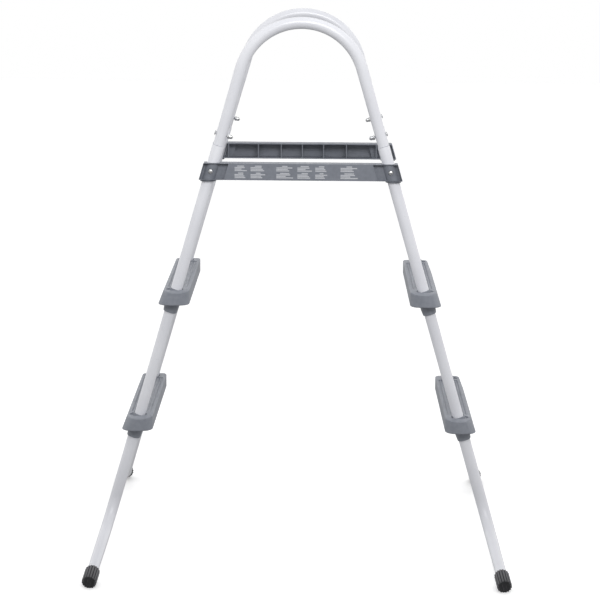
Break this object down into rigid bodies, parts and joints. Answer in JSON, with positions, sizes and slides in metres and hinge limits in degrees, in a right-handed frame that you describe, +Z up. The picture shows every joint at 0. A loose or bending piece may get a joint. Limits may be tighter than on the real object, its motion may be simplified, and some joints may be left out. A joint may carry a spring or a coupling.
{
  "type": "pool ladder",
  "caption": "A-frame ladder for an above-ground pool: bent tube side frames with hoop handrails, moulded steps on both sides, cross brackets over the wall and rubber foot caps.",
  "frame": {"origin": "on the floor, under the middle of the ladder", "axes": "+Z up, X along the spread of the A, Y along the steps; the two sides are alike"},
  "size_m": [0.907, 0.8574, 1.187],
  "materials": {
    "tube": "semi-gloss white powder coat",
    "step": "fine moulded texture",
    "bracket": "fine moulded texture",
    "foot_rubber": "matt, fluted",
    "fastener": "bright zinc"
  },
  "bodies": {
    "root": {"handrail_front": "tube", "top_bracket_front": "bracket", "upper_leg_front_left": "tube", "j_leg_front_left": "tube", "foot_cap_front_left": "foot_rubber", "handrail_bolt_front_left": "fastener", "handrail_cap_nut_front_left": "fastener", "bracket_bolt_front_left": "fastener", "bracket_nut_front_left": "fastener", "step_bolt_lower_front_left": "fastener", "step_nut_lower_front_left": "fastener", "step_bolt_upper_front_left": "fastener", "step_nut_upper_front_left": "fastener", "upper_leg_front_right": "tube", "j_leg_front_right": "tube", "foot_cap_front_right": "foot_rubber", "handrail_bolt_front_right": "fastener", "handrail_cap_nut_front_right": "fastener", "bracket_bolt_front_right": "fastener", "bracket_nut_front_right": "fastener", "step_bolt_lower_front_right": "fastener", "step_nut_lower_front_right": "fastener", "step_bolt_upper_front_right": "fastener", "step_nut_upper_front_right": "fastener", "handrail_rear": "tube", "top_bracket_rear": "bracket", "upper_leg_rear_left": "tube", "j_leg_rear_left": "tube", "foot_cap_rear_left": "foot_rubber", "handrail_bolt_rear_left": "fastener", "handrail_cap_nut_rear_left": "fastener", "bracket_bolt_rear_left": "fastener", "bracket_nut_rear_left": "fastener", "step_bolt_lower_rear_left": "fastener", "step_nut_lower_rear_left": "fastener", "step_bolt_upper_rear_left": "fastener", "step_nut_upper_rear_left": "fastener", "upper_leg_rear_right": "tube", "j_leg_rear_right": "tube", "foot_cap_rear_right": "foot_rubber", "handrail_bolt_rear_right": "fastener", "handrail_cap_nut_rear_right": "fastener", "bracket_bolt_rear_right": "fastener", "bracket_nut_rear_right": "fastener", "step_bolt_lower_rear_right": "fastener", "step_nut_lower_rear_right": "fastener", "step_bolt_upper_rear_right": "fastener", "step_nut_upper_rear_right": "fastener", "step_lower_left": "step", "step_lower_right": "step", "step_upper_left": "step", "step_upper_right": "step"}
  },
  "joints": []
}
